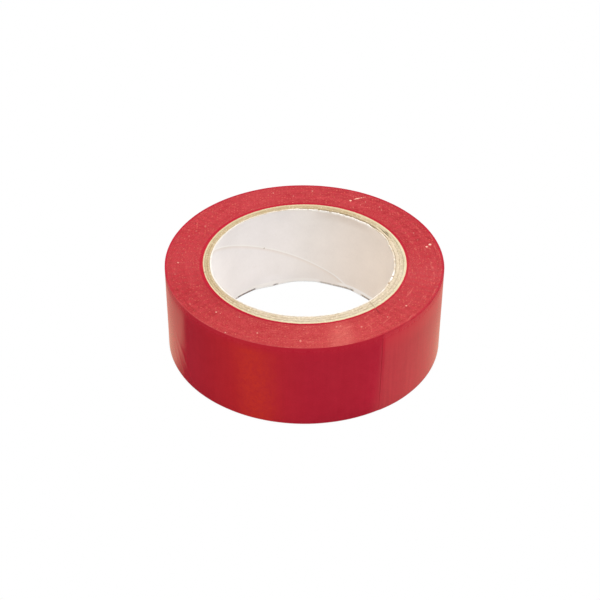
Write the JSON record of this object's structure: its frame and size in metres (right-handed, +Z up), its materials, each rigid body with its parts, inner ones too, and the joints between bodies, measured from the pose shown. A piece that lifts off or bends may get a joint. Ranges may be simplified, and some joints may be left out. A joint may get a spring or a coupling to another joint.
{
  "type": "electrical tape roll",
  "caption": "Roll of red PVC electrical tape wound on a paper core, with a free end that peels away.",
  "frame": {"origin": "on the roll's axis, in the plane of the flat side that it stands on", "axes": "+Z up along the roll's axis; the free end leaves the outer turn at +2 degrees from +X and ends at -58 degrees, so -Y is the front from which it is usually seen"},
  "size_m": [0.0565, 0.0564, 0.019],
  "materials": {
    "tape_film": "satin",
    "tape_adhesive": "satin",
    "liner_paper": "matte",
    "core_board": "matte",
    "core_board_outer": "matte"
  },
  "bodies": {
    "roll": {"core_liner": "liner_paper", "core_inner_ply": "core_board", "core_middle_ply": "core_board", "core_outer_ply": "core_board_outer", "wound_film": "tape_film", "wound_adhesive": "tape_adhesive", "outer_wrap_film": "tape_film", "outer_wrap_adhesive": "tape_adhesive"},
    "tail_01": {"tail_film_01": "tape_film", "tail_adhesive_01": "tape_adhesive"},
    "tail_02": {"tail_film_02": "tape_film", "tail_adhesive_02": "tape_adhesive"},
    "tail_03": {"tail_film_03": "tape_film", "tail_adhesive_03": "tape_adhesive"},
    "tail_04": {"tail_film_04": "tape_film", "tail_adhesive_04": "tape_adhesive"},
    "tail_05": {"tail_film_05": "tape_film", "tail_adhesive_05": "tape_adhesive"},
    "tail_06": {"tail_film_06": "tape_film", "tail_adhesive_06": "tape_adhesive"},
    "tail_07": {"tail_film_07": "tape_film", "tail_adhesive_07": "tape_adhesive"},
    "tail_08": {"tail_film_08": "tape_film", "tail_adhesive_08": "tape_adhesive"},
    "tail_09": {"tail_film_09": "tape_film", "tail_adhesive_09": "tape_adhesive"},
    "tail_10": {"tail_film_10": "tape_film", "tail_adhesive_10": "tape_adhesive"}
  },
  "joints": [
    {"name": "tail_peel", "type": "hinge", "parent": "roll", "child": "tail_01", "pos_m": [0.02828, 0.00096, 0.0095], "axis": [0, 0, 1], "range_deg": [0, 24]},
    {"name": "tail_bend_02", "type": "hinge", "parent": "tail_01", "child": "tail_02", "pos_m": [0.02823, -0.00201, 0.0095], "axis": [0, 0, 1], "range_deg": [0, 24]},
    {"name": "tail_bend_03", "type": "hinge", "parent": "tail_02", "child": "tail_03", "pos_m": [0.02787, -0.00495, 0.0095], "axis": [0, 0, 1], "range_deg": [0, 20.4]},
    {"name": "tail_bend_04", "type": "hinge", "parent": "tail_03", "child": "tail_04", "pos_m": [0.0272, -0.00783, 0.0095], "axis": [0, 0, 1], "range_deg": [0, 14.4]},
    {"name": "tail_bend_05", "type": "hinge", "parent": "tail_04", "child": "tail_05", "pos_m": [0.02624, -0.01063, 0.0095], "axis": [0, 0, 1], "range_deg": [0, 9.6]},
    {"name": "tail_bend_06", "type": "hinge", "parent": "tail_05", "child": "tail_06", "pos_m": [0.02499, -0.01332, 0.0095], "axis": [0, 0, 1], "range_deg": [0, 7.2]},
    {"name": "tail_bend_07", "type": "hinge", "parent": "tail_06", "child": "tail_07", "pos_m": [0.02346, -0.01586, 0.0095], "axis": [0, 0, 1], "range_deg": [0, 6]},
    {"name": "tail_bend_08", "type": "hinge", "parent": "tail_07", "child": "tail_08", "pos_m": [0.02168, -0.01822, 0.0095], "axis": [0, 0, 1], "range_deg": [0, 6]},
    {"name": "tail_bend_09", "type": "hinge", "parent": "tail_08", "child": "tail_09", "pos_m": [0.01966, -0.02039, 0.0095], "axis": [0, 0, 1], "range_deg": [0, 6]},
    {"name": "tail_bend_10", "type": "hinge", "parent": "tail_09", "child": "tail_10", "pos_m": [0.01742, -0.02233, 0.0095], "axis": [0, 0, 1], "range_deg": [0, 6]}
  ],
  "couplings": [
    {"joint": "tail_bend_02", "follows": "tail_peel", "ratio": 1},
    {"joint": "tail_bend_03", "follows": "tail_peel", "ratio": 0.85},
    {"joint": "tail_bend_04", "follows": "tail_peel", "ratio": 0.6},
    {"joint": "tail_bend_05", "follows": "tail_peel", "ratio": 0.4},
    {"joint": "tail_bend_06", "follows": "tail_peel", "ratio": 0.3},
    {"joint": "tail_bend_07", "follows": "tail_peel", "ratio": 0.25},
    {"joint": "tail_bend_08", "follows": "tail_peel", "ratio": 0.25},
    {"joint": "tail_bend_09", "follows": "tail_peel", "ratio": 0.25},
    {"joint": "tail_bend_10", "follows": "tail_peel", "ratio": 0.25}
  ]
}
